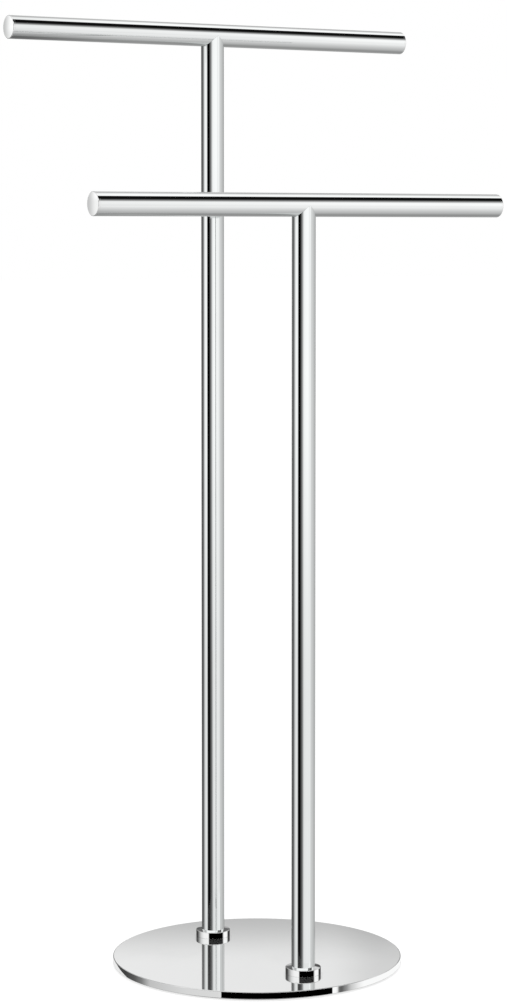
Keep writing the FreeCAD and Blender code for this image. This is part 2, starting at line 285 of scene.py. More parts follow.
# What the rails' left ends mirror is a little darker, and the floor from under them to the back
# is much darker there.
LEFT_ENDS_ALONG = (0.3, 0.4, 0.44, 0.485)
LEFT_ENDS_LOSS = 0.13
LEFT_ENDS_FLOOR = (-105.0, -50.0)
LEFT_ENDS_FLOOR_LOSS = 0.47
back_floor = 1 - studio.rise(roll, *LEFT_ENDS_FLOOR)
left_ends_loss = LEFT_ENDS_LOSS + LEFT_ENDS_FLOOR_LOSS * back_floor
left_ends_loss = left_ends_loss * studio.band(along_rails, *LEFT_ENDS_ALONG)
over_and_under = over_and_under * (1 - left_ends_loss)

# Directions far from level meet the ceiling or the floor, and the others the walls.
STEEP = (14.0, 26.0)
steep = studio.rise(off_level, *STEEP)
mirrored_level = around * (1 - steep) + over_and_under * steep

# A black flag hangs at either side of the backdrop. The right one is lower, but for a narrow
# strip beside the backdrop.
SIDE_FLAGS = (156.0, 159.0, 175.0, 176.2)
SIDE_FLAGS_UP = (-12.0, -6.0, 32.0, 42.0)
SIDE_FLAGS_LOSS = 0.8
RIGHT_FLAG_TOP = (17.0, 21.0)
RIGHT_FLAG_SIDES = (90.0, 100.0, 173.0, 174.0)
side_flags = studio.band(abs(side), *SIDE_FLAGS) * studio.band(up, *SIDE_FLAGS_UP)
over_right_flag = studio.rise(up, *RIGHT_FLAG_TOP) * studio.band(side, *RIGHT_FLAG_SIDES)
side_flags = side_flags * (1 - over_right_flag)
mirrored_level = mirrored_level * (1 - SIDE_FLAGS_LOSS * side_flags)

# The camera sees white, the metal sees all of the above, and matt surfaces see one pale level.
FILL_LEVEL = 0.75
rays = studio.add("ShaderNodeLightPath")
is_seen = rays.other("Is Camera Ray")
is_mirrored = rays.other("Is Glossy Ray") + rays.other("Is Transmission Ray")
is_mirrored = is_mirrored.math("MINIMUM", 1.0)
strength = is_seen + is_mirrored * mirrored_level + (1 - is_seen - is_mirrored) * FILL_LEVEL
sky = studio.add("ShaderNodeBackground", None, {"Color": (1, 1, 1, 1), "Strength": strength})
studio.add("ShaderNodeOutputWorld", None, {"Surface": sky})

# A softbox above the stand gives the floor its faint shadow.
SOFTBOX_PLACE = Vector((-0.5, -0.6, 2.4))
SOFTBOX_TARGET = Vector((0.0, 0.0, 0.3))
SOFTBOX_WIDTH = 1.6
SOFTBOX_WATTS = 16.0
softbox_data = bpy.data.lights.new("softbox", "AREA")
softbox_data.shape = "DISK"
softbox_data.size = SOFTBOX_WIDTH
softbox_data.energy = SOFTBOX_WATTS
softbox = add_object("softbox", softbox_data)
softbox.location = SOFTBOX_PLACE
softbox.rotation_euler = (SOFTBOX_TARGET - SOFTBOX_PLACE).to_track_quat("-Z", "Y").to_euler()
softbox.visible_glossy = False

# The floor is a grey sheet that also glows to the camera, and so it shows as pure white beside
# its shadow. The metal doesn't see it.
FLOOR_HALF_WIDTH = 30.0
FLOOR_GREY = 0.42
FLOOR_GLOW = 0.7
SQUARE = ((-1, -1), (1, -1), (1, 1), (-1, 1))


def new_material(name):
    """A new material and its empty graph."""
    material = bpy.data.materials.new(name)
    material.use_nodes = True
    return material, Graph(material.node_tree)


floor_mesh = bpy.data.meshes.new("floor")
floor_corners = [(x * FLOOR_HALF_WIDTH, y * FLOOR_HALF_WIDTH, 0.0) for x, y in SQUARE]
floor_mesh.from_pydata(floor_corners, [], [(0, 1, 2, 3)])
floor = add_object("floor", floor_mesh)
floor.visible_glossy = False
white_floor, paper = new_material("white_floor")
is_seen = paper.add("ShaderNodeLightPath").other("Is Camera Ray")
sheet = paper.add("ShaderNodeBsdfDiffuse", None, {
    "Color": (FLOOR_GREY, FLOOR_GREY, FLOOR_GREY, 1.0),
})
glow = paper.add("ShaderNodeEmission", None, {"Strength": is_seen * FLOOR_GLOW})
glowing_sheet = paper.add("ShaderNodeAddShader", None, {0: sheet, 1: glow})
paper.add("ShaderNodeOutputMaterial", None, {"Surface": glowing_sheet})
floor_mesh.materials.append(white_floor)

# --- Base plate -------------------------------------------------------------------------------
# A turned steel disc, polished and chromed until it mirrors the posts. Its rim is eased, and
# two countersunk holes come up through it from below for the base screws.

MM = 0.001
CLOSE = 0.02 * MM


def soft_outline(corners, steps=6):
    """The corners (radius, height, rounding) as points, with an arc for each rounding and a
    close point before and after it, so that flat faces stay flat in what they mirror."""
    points = []
    for index, (radius, height, rounding) in enumerate(corners):
        corner = Vector((radius, height))
        if rounding == 0:
            points.append(corner)
            continue
        before = (Vector(corners[index - 1][:2]) - corner).normalized()
        after = (Vector(corners[(index + 1) % len(corners)][:2]) - corner).normalized()
        half = before.angle(after) / 2
        reach = rounding / math.tan(half)
        centre = corner + (before + after).normalized() * rounding / math.sin(half)
        start = corner + before * reach - centre
        end = corner + after * reach - centre
        turn = math.pi - 2 * half
        points.append(corner + before * (reach + CLOSE))
        for step in range(steps + 1):
            share = step / steps
            mixed = start * math.sin((1 - share) * turn) + end * math.sin(share * turn)
            points.append(centre + mixed / math.sin(turn))
        points.append(corner + after * (reach + CLOSE))
    return points


def add_turned(shape, outline, around, place=Matrix()):
    """Turn a closed outline about its axis into a bmesh, and put it in its place."""
    rings = []
    for radius, height in outline:
        if radius < CLOSE / 2:
            rings.append([shape.verts.new(place @ Vector((0, 0, height)))] * around)
            continue
        ring = []
        for turn in range(around):
            angle = 2 * math.pi * turn / around
            point = Vector((radius * math.cos(angle), radius * math.sin(angle), height))
            ring.append(shape.verts.new(place @ point))
        rings.append(ring)
    faces = []
    for ring, following in zip(rings, rings[1:] + rings[:1]):
        for turn in range(around):
            beside = (turn + 1) % around
            corners = [ring[turn], ring[beside], following[beside], following[turn]]
            corners = list(dict.fromkeys(corners))
            if len(corners) > 2:
                faces.append(shape.faces.new(corners))
    bmesh.ops.recalc_face_normals(shape, faces=faces)


SHARP_ANGLE = math.radians(40)
SQUARE_TO_AN_AXIS = 0.9999999


def new_piece(name, shape, material):
    """A piece from a bmesh: faces square to an axis are flat, and the others smooth."""
    shape.normal_update()
    for face in shape.faces:
        face.smooth = max(abs(part) for part in face.normal) < SQUARE_TO_AN_AXIS
    mesh = bpy.data.meshes.new(name)
    shape.to_mesh(mesh)
    shape.free()
    mesh.set_sharp_from_angle(angle=SHARP_ANGLE)
    mesh.materials.append(material)
    return add_object(name, mesh)


def apply_modifiers(piece):
    """Make what the modifiers give the piece's own mesh."""
    evaluated = piece.evaluated_get(bpy.context.evaluated_depsgraph_get())
    mesh = bpy.data.meshes.new_from_object(evaluated)
    mesh.set_sharp_from_angle(angle=SHARP_ANGLE)
    piece.modifiers.clear()
    piece.data = mesh


def cut_away(piece, cutter):
    """Take the cutter's shape out of the piece."""
    modifier = piece.modifiers.new("cut", "BOOLEAN")
    modifier.operation = "DIFFERENCE"
    modifier.solver = "EXACT"
    modifier.object = cutter
    apply_modifiers(piece)
    bpy.data.objects.remove(cutter)


HANDLED_SPOTS = (0.45, 0.8)
HANDLING_DARKENS = 0.018
HANDLING_ROUGHENS = 0.02
MARKS_ROUGHEN = 0.015
BLUE_LACK = 0.002
HAZE = 0.045
HAZE_EDGE = 0.05 * MM


def chrome(name, brightness, polish, streaks, coolness=0.006, haze_above=None):
    """Polished chrome: bright metal with faint polishing marks and a trace of handling.

    coolness is what its red lacks, polish is the roughness of the clean metal, and streaks
    stretches the marks along X, Y and Z. Above the height haze_above, if there is one, the
    metal has a slight milky haze.
    """
    material, graph = new_material(name)
    place = graph.add("ShaderNodeTexCoord").other("Object")
    handling = graph.add("ShaderNodeTexNoise", None, {
        "Vector": place, "Scale": 14.0, "Detail": 4.0, "Roughness": 0.6,
    })
    handling = graph.rise(handling, *HANDLED_SPOTS)
    stretched = graph.add("ShaderNodeMapping", None, {"Vector": place, "Scale": streaks})
    marks = graph.add("ShaderNodeTexNoise", None, {
        "Vector": stretched, "Scale": 1.0, "Detail": 2.0, "Roughness": 0.5,
    })
    clean = (brightness - coolness, brightness, brightness - BLUE_LACK, 1.0)
    handled = tuple(part - HANDLING_DARKENS for part in clean[:3]) + (1.0,)
    bump = graph.add("ShaderNodeBump", None, {
        "Height": marks, "Strength": 0.05, "Distance": 0.02 * MM,
    })
    sockets = {
        "Base Color": graph.mix(handling, clean, handled),
        "Metallic": 1.0,
        "Roughness": polish + HANDLING_ROUGHENS * handling + MARKS_ROUGHEN * marks,
        "Normal": bump,
    }
    if haze_above is not None:
        height = graph.along(place, UPWARDS)
        sockets["Metallic"] = 1 - HAZE * graph.rise(height, haze_above - HAZE_EDGE, haze_above)
    metal = graph.add("ShaderNodeBsdfPrincipled", None, sockets)
    graph.add("ShaderNodeOutputMaterial", None, {"Surface": metal})
    return material


ENDS = ("front", "rear")
PLATE_RIM_ROUND = 0.6 * MM
SCREW_GAP = 0.2 * MM
SCREW_RADIUS = 3.0 * MM
plate_low, plate_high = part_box("base_plate")
plate_radius = max(plate_high.x, plate_high.y)
screw_low, screw_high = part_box("base_screws")
screw_head_radius = screw_high.x
collar_centres = [sum(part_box(f"{end}_collar"), Vector()) / 2 for end in ENDS]
post_spacing = collar_centres[1].y - collar_centres[0].y
post_places = (-post_spacing / 2, post_spacing / 2)

shape = bmesh.new()
add_turned(shape, soft_outline([
    (0, plate_low.z, 0),
    (plate_radius, plate_low.z, PLATE_RIM_ROUND),
    (plate_radius, plate_high.z, PLATE_RIM_ROUND),
    (0, plate_high.z, 0),
]), around=256)
plate_chrome = chrome(
    "plate_chrome", brightness=0.955, polish=0.012, streaks=(60.0, 60.0, 60.0),
    haze_above=plate_high.z,
)
plate = new_piece("mirror_base_plate", shape, plate_chrome)

countersinks = bmesh.new()
hole_mouth = screw_head_radius + SCREW_GAP
hole_neck = SCREW_RADIUS + SCREW_GAP
for post_y in post_places:
    add_turned(countersinks, [
        (0, plate_low.z - MM),
        (hole_mouth, plate_low.z - MM),
        (hole_mouth, screw_low.z),
        (hole_neck, screw_low.z + hole_mouth - hole_neck),
        (hole_neck, plate_high.z + MM),
        (0, plate_high.z + MM),
    ], around=64, place=Matrix.Translation((0, post_y, 0)))
cut_away(plate, new_piece("countersinks", countersinks, plate_chrome))
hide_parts("base_plate")
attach(plate, "root")

# --- Anti-slip pad ----------------------------------------------------------------------------
# A disc of closed-cell foam glued under the plate, with a round hole around each screw's head.
# It is die-cut, so that its edge is nearly square, and its skin is full of fine cells.

PAD_HOLE_RADIUS = 10.0 * MM
PAD_EDGE_ROUND = 0.15 * MM
PAD_GLUED_EDGE_ROUND = 0.1 * MM
pad_low, pad_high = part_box("base_pad")

foam, graph = new_material("pad_foam")
place = graph.add("ShaderNodeTexCoord").other("Object")
cells = graph.add("ShaderNodeTexVoronoi", None, {"Vector": place, "Scale": 1400.0})
dust = graph.add("ShaderNodeTexNoise", None, {"Vector": place, "Scale": 60.0, "Detail": 5.0})
foam_colour = graph.mix(dust, (0.018, 0.018, 0.019, 1.0), (0.045, 0.045, 0.046, 1.0))
cell_bump = graph.add("ShaderNodeBump", None, {
    "Height": cells, "Strength": 0.6, "Distance": 0.2 * MM,
})
skin = graph.add("ShaderNodeBsdfPrincipled", None, {
    "Base Color": foam_colour, "Roughness": 0.75 + 0.15 * dust, "Normal": cell_bump,
})
graph.add("ShaderNodeOutputMaterial", None, {"Surface": skin})

shape = bmesh.new()
add_turned(shape, soft_outline([
    (0, pad_low.z, 0),
    (pad_high.x, pad_low.z, PAD_EDGE_ROUND),
    (pad_high.x, pad_high.z, PAD_GLUED_EDGE_ROUND),
    (0, pad_high.z, 0),
]), around=160)
pad = new_piece("foam_base_pad", shape, foam)
pad_holes = bmesh.new()
for post_y in post_places:
    add_turned(pad_holes, [
        (0, pad_low.z - MM),
        (PAD_HOLE_RADIUS, pad_low.z - MM),
        (PAD_HOLE_RADIUS, pad_high.z + MM),
        (0, pad_high.z + MM),
    ], around=64, place=Matrix.Translation((0, post_y, 0)))
cut_away(pad, new_piece("pad_holes", pad_holes, foam))
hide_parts("base_pad")
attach(pad, "root")

# --- Base screws ------------------------------------------------------------------------------
# Two equal countersunk socket screws of zinc-plated steel, one up into each post. Geometry
# Nodes roll the thread into a turned blank and set the screw out under both posts.

SOCKET_FLATS = 4.0 * MM
SOCKET_DEPTH = 2.5 * MM
SCREW_PITCH = 1.0 * MM
SCREW_THREAD_DEPTH = 0.55 * MM
SCREW_POINT_LENGTH = 0.5 * MM
SCREW_POINT_TAPER = 0.6 * MM
CREST_MARGIN = 0.01 * MM
RINGS_PER_TURN = 8

threaded = bpy.data.node_groups.new("threaded_parts", "GeometryNodeTree")
for label, kind in (
    ("Blank", "Geometry"), ("Material", "Material"), ("Crest Radius", "Float"),
    ("Pitch", "Float"), ("Depth", "Float"), ("Thread Start", "Float"), ("Thread End", "Float"),
    ("Count", "Int"), ("First Place", "Vector"), ("Step", "Vector"),
):
    threaded.interface.new_socket(label, in_out="INPUT", socket_type=f"NodeSocket{kind}")
threaded.interface.new_socket("Parts", in_out="OUTPUT", socket_type="NodeSocketGeometry")
graph = Graph(threaded)
given = graph.add("NodeGroupInput")
position = graph.add("GeometryNodeInputPosition")
radial = graph.add("ShaderNodeVectorMath", {"operation": "MULTIPLY"}, {
    0: position, 1: (1.0, 1.0, 0.0),
})
radius = graph.add("ShaderNodeVectorMath", {"operation": "LENGTH"}, {0: radial}).other("Value")
outwards = graph.add("ShaderNodeVectorMath", {"operation": "NORMALIZE"}, {0: radial})
height = graph.along(position, UPWARDS)
turns = height / given.other("Pitch")
turns = turns - graph.angle(position, (1.0, 0.0, 0.0), (0.0, 1.0, 0.0)) / 360
groove = abs(turns.math("FRACT") - 0.5) * 2.0
on_crest = radius.math("GREATER_THAN", given.other("Crest Radius") - CREST_MARGIN)
threaded_zone = graph.band(
    height,
    given.other("Thread Start"), given.other("Thread Start") + given.other("Pitch"),
    given.other("Thread End") - given.other("Pitch"), given.other("Thread End"),
)
inwards = groove * on_crest * threaded_zone * given.other("Depth")
offset = graph.add("ShaderNodeVectorMath", {"operation": "SCALE"}, {
    "Vector": outwards, "Scale": inwards * -1.0,
})
part = graph.add("GeometryNodeSetPosition", None, {
    "Geometry": given.other("Blank"), "Offset": offset,
})
places = graph.add("GeometryNodeMeshLine", {"mode": "OFFSET"}, {
    "Count": given.other("Count"), "Start Location": given.other("First Place"),
    "Offset": given.other("Step"),
})
parts = graph.add("GeometryNodeInstanceOnPoints", None, {"Points": places, "Instance": part})
parts = graph.add("GeometryNodeRealizeInstances", None, {"Geometry": parts})
parts = graph.add("GeometryNodeSetMaterial", None, {
    "Geometry": parts, "Material": given.other("Material"),
})
graph.add("NodeGroupOutput", None, {"Parts": parts})


def cut_thread(piece, **values):
    """Run a turned blank through the threading nodes, with their inputs by name."""
    modifier = piece.modifiers.new("thread", "NODES")
    modifier.node_group = threaded
    for socket in threaded.interface.items_tree:
        name = socket.name.replace(" ", "_").lower()
        if name in values:
            modifier[socket.identifier] = values[name]
    apply_modifiers(piece)


def threaded_stretch(radius, start, end, pitch):
    """Outline points along a stretch of bar, close enough together to take a thread."""
    count = round((end - start) / pitch * RINGS_PER_TURN)
    return [(radius, start + (end - start) * step / count) for step in range(count + 1)]


DULL_SHARE = 0.8


def plated_steel(name, colour, roughness, lines):
    """Steel with a thin dull plating, a cloudy sheen and fine tool lines. lines sets how fast
    those change along X, Y and Z."""
    material, graph = new_material(name)
    place = graph.add("ShaderNodeTexCoord").other("Object")
    cloud = graph.add("ShaderNodeTexNoise", None, {
        "Vector": place, "Scale": 220.0, "Detail": 3.0,
    })
    stretched = graph.add("ShaderNodeMapping", None, {"Vector": place, "Scale": lines})
    tool_lines = graph.add("ShaderNodeTexNoise", None, {
        "Vector": stretched, "Scale": 1.0, "Detail": 2.0,
    })
    dull = tuple(part * DULL_SHARE for part in colour)
    bump = graph.add("ShaderNodeBump", None, {
        "Height": tool_lines, "Strength": 0.35, "Distance": 0.03 * MM,
    })
    metal = graph.add("ShaderNodeBsdfPrincipled", None, {
        "Base Color": graph.mix(cloud, (*dull, 1.0), (*colour, 1.0)), "Metallic": 1.0,
        "Roughness": roughness + 0.12 * cloud, "Normal": bump,
    })
    graph.add("ShaderNodeOutputMaterial", None, {"Surface": metal})
    return material


screw_steel = plated_steel(
    "screw_steel", colour=(0.72, 0.74, 0.78), roughness=0.22, lines=(400.0, 400.0, 9000.0),
)
head_height = screw_head_radius - SCREW_RADIUS
thread_bottom = screw_low.z + head_height + SCREW_PITCH
thread_top = screw_high.z - SCREW_POINT_LENGTH
shape = bmesh.new()
add_turned(shape, [
    (0, screw_low.z),
    (screw_head_radius, screw_low.z),
    (screw_head_radius, screw_low.z + CLOSE),
    (SCREW_RADIUS, screw_low.z + head_height),
    *threaded_stretch(SCREW_RADIUS, thread_bottom, thread_top, SCREW_PITCH),
    (SCREW_RADIUS - SCREW_POINT_TAPER, screw_high.z),
    (0, screw_high.z),
], around=36)
screws = new_piece("countersunk_base_screws", shape, screw_steel)
hexagon = bmesh.new()
hexagon_radius = SOCKET_FLATS / math.sqrt(3)
add_turned(hexagon, [
    (0, screw_low.z - MM),
    (hexagon_radius, screw_low.z - MM),
    (hexagon_radius, screw_low.z + SOCKET_DEPTH),
    (0, screw_low.z + SOCKET_DEPTH),
], around=6)
cut_away(screws, new_piece("hexagon", hexagon, screw_steel))
cut_thread(
    screws, material=screw_steel, crest_radius=SCREW_RADIUS, pitch=SCREW_PITCH,
    depth=SCREW_THREAD_DEPTH, thread_start=thread_bottom, thread_end=screw_high.z + SCREW_PITCH,
    count=2, first_place=(0.0, post_places[0], 0.0), step=(0.0, post_spacing, 0.0),
)
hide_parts("base_screws")
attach(screws, "root")

# --- Foot collars -----------------------------------------------------------------------------
# A turned ring around each post's foot, chromed. Its top is a shallow cone up to the post, with
# a softly rounded rim, and its foot is eased a little where it meets the plate.

COLLAR_RIM_ROUND = 0.5 * MM
COLLAR_FOOT_ROUND = 0.25 * MM
COLLAR_FLOOR = 1.5 * MM
COLLAR_CROWN = 0.9 * MM
SEAT_GAP = 0.1 * MM
collar_chrome = chrome(
    "collar_chrome", brightness=0.95, polish=0.02, streaks=(90.0, 90.0, 6000.0),
)
post_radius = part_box("front_post")[1].x
collar_bore = post_radius + SEAT_GAP

for end in ENDS:
    low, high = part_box(f"{end}_collar")
    centre = (low + high) / 2
    shape = bmesh.new()
    add_turned(shape, soft_outline([
        (hole_neck, low.z, 0),
        (high.x, low.z, COLLAR_FOOT_ROUND),
        (high.x, high.z - COLLAR_CROWN, COLLAR_RIM_ROUND),
        (collar_bore, high.z, 0),
        (collar_bore, low.z + COLLAR_FLOOR, 0),
        (hole_neck, low.z + COLLAR_FLOOR, 0),
    ]), around=128, place=Matrix.Translation((0, centre.y, 0)))
    collar = new_piece(f"{end}_foot_collar", shape, collar_chrome)
    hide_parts(f"{end}_collar")
    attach(collar, "root")

# --- Foot plugs -------------------------------------------------------------------------------
# Steel plugs in the posts' lower ends, tapped from both ends for the base screw and the tie rod.
# They are turned from bar and thinly plated, and their fine tool lines still show.

turned_steel = plated_steel(
    "turned_steel", colour=(0.56, 0.56, 0.57), roughness=0.28, lines=(300.0, 300.0, 5000.0),
)


def give_finish(node, material):
    """Give its material to a piece that keeps its shape from the frame."""
    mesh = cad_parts[node].data
    mesh.materials.clear()
    mesh.materials.append(material)


for end in ENDS:
    give_finish(f"{end}_foot_plug", turned_steel)

# --- Posts ------------------------------------------------------------------------------------
# Round steel tubes, polished and chromed. The top of each is coped, so that it wraps the
# rail's underside, and the coped edge is eased by the polishing before it is plated.

TUBE_WALL = 1.5 * MM
POST_FOOT_ROUND = 0.2 * MM
COPE_GAP = 0.05 * MM
COPE_EASE = 0.12 * MM
COPE_EASE_MIDDLE = 0.3 * COPE_EASE
POST_STEPS = 192
post_chrome = chrome(
    "post_chrome", brightness=0.965, polish=0.015, streaks=(40.0, 40.0, 2500.0), coolness=0.022,
)
post_bore = post_radius - TUBE_WALL
cope_face_radius = post_radius - COPE_EASE
rail_low, rail_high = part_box("front_rail")
rail_radius = (rail_high.z - rail_low.z) / 2


def cope_height(rail_axis, across):
    """The height of the coped surface at a distance across the rail."""
    return rail_axis - math.sqrt((rail_radius + COPE_GAP) ** 2 - across ** 2)


for end in ENDS:
    low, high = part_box(f"{end}_post")
    centre = (low + high) / 2
    rail_low, rail_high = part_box(f"{end}_rail")
    rail_axis = (rail_low.z + rail_high.z) / 2
    foot = soft_outline([
        (post_bore, low.z, 0),
        (post_radius, low.z, POST_FOOT_ROUND),
        (post_radius, rail_axis, 0),
    ])[:-1]
    shape = bmesh.new()
    columns = []
    for turn in range(POST_STEPS):
        angle = 2 * math.pi * turn / POST_STEPS
        across = math.sin(angle)
        outer_top = cope_height(rail_axis, post_radius * across)
        section = [tuple(point) for point in foot] + [
            (post_radius, outer_top - COPE_EASE - CLOSE),
            (post_radius, outer_top - COPE_EASE),
            (post_radius - COPE_EASE_MIDDLE, outer_top - COPE_EASE_MIDDLE),
            (cope_face_radius, cope_height(rail_axis, cope_face_radius * across)),
            (post_bore, cope_height(rail_axis, post_bore * across)),
        ]
        columns.append([
            shape.verts.new((radius * math.cos(angle), centre.y + radius * across, height))
            for radius, height in section
        ])
    for column, beside in zip(columns, columns[1:] + columns[:1]):
        for corner in range(len(column)):
            above = (corner + 1) % len(column)
            shape.faces.new((column[corner], beside[corner], beside[above], column[above]))
    bmesh.ops.recalc_face_normals(shape, faces=shape.faces)
    post = new_piece(f"{end}_post_tube", shape, post_chrome)
    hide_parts(f"{end}_post")
    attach(post, "root")

# --- Top bushes -------------------------------------------------------------------------------
# Short nylon bushes pressed into the posts' tops, which centre the tie rods. They are moulded
# in natural nylon, slightly waxy and cloudy.

nylon, graph = new_material("bush_nylon")
place = graph.add("ShaderNodeTexCoord").other("Object")
cloud = graph.add("ShaderNodeTexNoise", None, {"Vector": place, "Scale": 180.0, "Detail": 3.0})
nylon_colour = graph.mix(cloud, (0.70, 0.68, 0.61, 1.0), (0.82, 0.80, 0.74, 1.0))
nylon_bump = graph.add("ShaderNodeBump", None, {
    "Height": cloud, "Strength": 0.2, "Distance": 0.05 * MM,
})
moulded = graph.add("ShaderNodeBsdfPrincipled", None, {
    "Base Color": nylon_colour, "Roughness": 0.38 + 0.12 * cloud, "Normal": nylon_bump,
    "Subsurface Weight": 0.2,
})
graph.add("ShaderNodeOutputMaterial", None, {"Surface": moulded})
for end in ENDS:
    give_finish(f"{end}_top_bush", nylon)

# --- Tie rods ---------------------------------------------------------------------------------
# Round steel bars inside the posts, threaded at both ends. Each screws into the nut in its rail
# and down into the foot plug, and so pulls rail and post together.

ROD_PITCH = 1.25 * MM
ROD_POINT = 0.8 * MM
ROD_THREAD_LENGTH = 22.0 * MM
ROD_THREAD_DEPTH = 0.7 * MM
rod_steel = plated_steel(
    "rod_steel", colour=(0.68, 0.69, 0.70), roughness=0.25, lines=(900.0, 900.0, 60.0),
)

for end in ENDS:
    low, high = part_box(f"{end}_tie_rod")
    centre = (low + high) / 2
    rod_radius = high.x
    lower_end = low.z + ROD_POINT + ROD_THREAD_LENGTH
    upper_start = high.z - ROD_POINT - ROD_THREAD_LENGTH
    shape = bmesh.new()
    add_turned(shape, [
        (0, low.z),
        (rod_radius - ROD_POINT, low.z),
        *threaded_stretch(rod_radius, low.z + ROD_POINT, lower_end, ROD_PITCH),
        *threaded_stretch(rod_radius, upper_start, high.z - ROD_POINT, ROD_PITCH),
        (rod_radius - ROD_POINT, high.z),
        (0, high.z),
    ], around=32)
    rod = new_piece(f"{end}_threaded_tie_rod", shape, rod_steel)
    for start, stop in ((low.z - ROD_PITCH, lower_end), (upper_start, high.z + ROD_PITCH)):
        cut_thread(
            rod, material=rod_steel, crest_radius=rod_radius, pitch=ROD_PITCH,
            depth=ROD_THREAD_DEPTH, thread_start=start, thread_end=stop,
            count=1, first_place=(0.0, 0.0, 0.0), step=(0.0, 0.0, 0.0),
        )
    rod.data.transform(Matrix.Translation((0, centre.y, 0)))
    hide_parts(f"{end}_tie_rod")
    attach(rod, "root")

# --- Rails ------------------------------------------------------------------------------------
# The rails are the same tube as the posts, lying level, with a hole in the middle of the
# underside that the post hides. The tie rod passes it into the nut inside the rail.

ROD_HOLE_RADIUS = 4.25 * MM
HOLE_BAND = 7.0 * MM
JOINT_EASE = 0.05 * MM
rail_chrome = chrome(
    "rail_chrome", brightness=0.985, polish=0.015, streaks=(2500.0, 40.0, 40.0), coolness=0.016,
)
ALONG_X = Matrix.Rotation(math.pi / 2, 4, "Y")
rail_bore = rail_radius - TUBE_WALL

for end in ENDS:
    low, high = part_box(f"{end}_rail")
    centre = (low + high) / 2
    outline = soft_outline([
        (rail_bore, low.x, 0),
        (rail_radius, low.x, JOINT_EASE),
        (rail_radius, high.x, JOINT_EASE),
        (rail_bore, high.x, 0),
    ])
    # A ring at each side of the hole, so that the drill cuts only short faces.
    middle = next(index for index, point in enumerate(outline) if point[1] > 0)
    outline[middle:middle] = [(rail_radius, -HOLE_BAND), (rail_radius, HOLE_BAND)]
    place = Matrix.Translation((0, centre.y, centre.z)) @ ALONG_X
    shape = bmesh.new()
    add_turned(shape, outline, around=192, place=place)
    rail = new_piece(f"{end}_rail_tube", shape, rail_chrome)
    drill = bmesh.new()
    add_turned(drill, [
        (0, low.z - MM),
        (ROD_HOLE_RADIUS, low.z - MM),
        (ROD_HOLE_RADIUS, centre.z),
        (0, centre.z),
    ], around=48, place=Matrix.Translation((0, centre.y, 0)))
    cut_away(rail, new_piece("drill", drill, rail_chrome))
    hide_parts(f"{end}_rail")
    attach(rail, "root")

# --- Rail nuts --------------------------------------------------------------------------------
# Round steel slugs inside the rails, tapped across for the tie rods. They are turned and plated
# like the foot plugs, and they look the same.

for end in ENDS:
    give_finish(f"{end}_rail_nut", turned_steel)

# --- Rail caps --------------------------------------------------------------------------------
# Turned caps pressed into the rails' ends: a face with a trace of a crown from the polishing, a
# softly rounded rim, a hairline joint against the tube, and a hollow spigot inside it.

CAP_RIM_ROUND = 0.5 * MM
CAP_CROWN = 0.2 * MM
CROWN_STEPS = 10
SPIGOT_LENGTH = 9.0 * MM
SPIGOT_WALL = 2.0 * MM
SPIGOT_GAP = 0.05 * MM
SPIGOT_ROUND = 0.3 * MM
cap_chrome = chrome("cap_chrome", brightness=0.97, polish=0.015, streaks=(300.0, 60.0, 60.0))
crown_radius = rail_radius - CAP_RIM_ROUND - 2 * CLOSE
spigot_radius = rail_bore - SPIGOT_GAP
spigot_bore = spigot_radius - SPIGOT_WALL

for end in ENDS:
    rail_low, rail_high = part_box(f"{end}_rail")
    centre = (rail_low + rail_high) / 2
    seat = rail_high.x
    for hand, facing in (("left", -1), ("right", 1)):
        low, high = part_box(f"{end}_rail_cap_{hand}")
        face = max(abs(low.x), abs(high.x))
        crown = [
            (crown_radius * step / CROWN_STEPS, face - CAP_CROWN * (step / CROWN_STEPS) ** 2, 0)
            for step in range(CROWN_STEPS + 1)
        ]
        shape = bmesh.new()
        turned_out = Matrix.Rotation(facing * math.pi / 2, 4, "Y")
        add_turned(shape, soft_outline([
            *crown,
            (rail_radius, face - CAP_CROWN, CAP_RIM_ROUND),
            (rail_radius, seat, JOINT_EASE),
            (spigot_radius, seat, 0),
            (spigot_radius, seat - SPIGOT_LENGTH, SPIGOT_ROUND),
            (spigot_bore, seat - SPIGOT_LENGTH, 0),
            (spigot_bore, seat, 0),
            (0, seat, 0),
        ], steps=8), around=160, place=Matrix.Translation((0, centre.y, centre.z)) @ turned_out)
        cap = new_piece(f"{end}_{hand}_end_cap", shape, cap_chrome)
        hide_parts(f"{end}_rail_cap_{hand}")
        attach(cap, "root")

# --- Close cards ------------------------------------------------------------------------------
# Bent cards stand a millimetre off the plate's rim and the collars, and flat ones face the left
# caps, as black and white cards are set beside small chrome parts. These cards glow rather than
# being lit. Their glow follows the angle of the metal's surface that mirrors them, so they paint
# the reflections that the rim, the collars and the left caps show. Only the metal sees them, and
# only from the side that they face. All angles here are in degrees.

CARD_GAP = 1.0 * MM
CARD_HALF_ANGLE = 96
CARD_STEPS = 96
BLACK_EDGE = 0.3
SLANT_END_EDGE = 1.0
WHITE_CARD_GLOW = 0.85
PLATE_CARD_LOW = 0.2 * MM
PLATE_CARD_BELOW_TOP = 0.45 * MM
COLLAR_CARD_BELOW_RIM = 0.3 * MM


def new_card(name, points, faces, centre):
    """A card that only the metal sees, and the empty graph of its paper."""
    mesh = bpy.data.meshes.new(name)
    mesh.from_pydata(points, [], faces)
    card = add_object(name, mesh)
    card.location = centre
    card.visible_camera = False
    card.visible_diffuse = False
    card.visible_shadow = False
    material, paper = new_material(name)
    mesh.materials.append(material)
    return paper


def glow_inside(paper, level):
    """The card's paper glows on the side that it faces and is clear from behind."""
    inner = paper.add("ShaderNodeEmission", None, {"Strength": level})
    outer = paper.add("ShaderNodeBsdfTransparent")
    backfacing = paper.add("ShaderNodeNewGeometry").other("Backfacing")
    paper.add("ShaderNodeOutputMaterial", None, {
        "Surface": paper.add("ShaderNodeMixShader", None, {0: backfacing, 1: inner, 2: outer}),
    })


